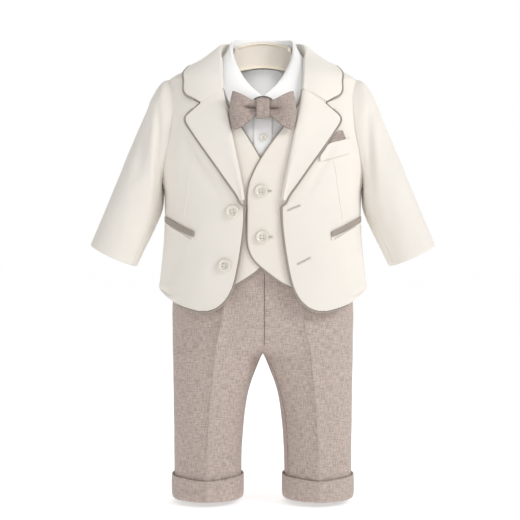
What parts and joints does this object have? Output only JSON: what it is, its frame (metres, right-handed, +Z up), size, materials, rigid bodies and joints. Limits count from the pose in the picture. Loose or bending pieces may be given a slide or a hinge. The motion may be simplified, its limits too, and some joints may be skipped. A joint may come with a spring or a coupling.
{
  "type": "christening suit",
  "caption": "Baby's christening suit: ivory jacket and waistcoat with contrast piping, white shirt, bow tie and linen-look trousers with turn-ups, hollow as worn.",
  "frame": {"origin": "between the shoulders, at the height of the neck seam, where the wearer's shoulders hold the suit up", "axes": "+Z up towards the collar, the front of the suit faces -Y, +X towards the wearer's left sleeve"},
  "size_m": [0.399, 0.1316, 0.5377],
  "materials": {
    "jacket_cloth": "matte woven ivory",
    "waistcoat_cloth": "matte woven ivory",
    "satin_trim": "soft satin taupe",
    "taupe_linen": "slubbed linen look, taupe",
    "shirt_cotton": "fine white cotton",
    "band_twill": "beige twill",
    "cream_rim": "cream ribbon",
    "button_horn": "glossy ivory"
  },
  "bodies": {
    "root": {"jacket_front_left": "jacket_cloth", "jacket_front_right": "jacket_cloth", "jacket_back": "jacket_cloth", "jacket_top_sleeve_left": "jacket_cloth", "jacket_top_sleeve_right": "jacket_cloth", "jacket_under_sleeve_left": "jacket_cloth", "jacket_under_sleeve_right": "jacket_cloth", "jacket_collar": "jacket_cloth", "jacket_lapel_left": "jacket_cloth", "jacket_lapel_right": "jacket_cloth", "collar_piping": "satin_trim", "jacket_piping_left": "satin_trim", "jacket_piping_right": "satin_trim", "hip_welt_left": "satin_trim", "hip_welt_right": "satin_trim", "hip_jet_left": "jacket_cloth", "hip_jet_right": "jacket_cloth", "breast_welt": "jacket_cloth", "pocket_square": "taupe_linen", "jacket_button_upper": "button_horn", "jacket_button_lower": "button_horn", "waistcoat_front_left": "waistcoat_cloth", "waistcoat_front_right": "waistcoat_cloth", "waistcoat_back": "waistcoat_cloth", "waistcoat_piping_left": "satin_trim", "waistcoat_piping_right": "satin_trim", "waistcoat_button_upper": "button_horn", "waistcoat_button_lower": "button_horn", "shirt_front_left": "shirt_cotton", "shirt_front_right": "shirt_cotton", "shirt_back": "shirt_cotton", "shirt_placket": "shirt_cotton", "shirt_sleeve_left": "shirt_cotton", "shirt_sleeve_right": "shirt_cotton", "shirt_collar": "shirt_cotton", "shirt_button": "button_horn", "neck_band": "band_twill", "neck_band_rim_top": "cream_rim", "neck_band_rim_bottom": "cream_rim", "bow_wing_left": "taupe_linen", "bow_wing_right": "taupe_linen", "bow_knot": "taupe_linen", "trouser_front_left": "taupe_linen", "trouser_front_right": "taupe_linen", "trouser_back_left": "taupe_linen", "trouser_back_right": "taupe_linen", "trouser_waistband": "taupe_linen", "turn_up_left": "taupe_linen", "turn_up_right": "taupe_linen"}
  },
  "joints": []
}
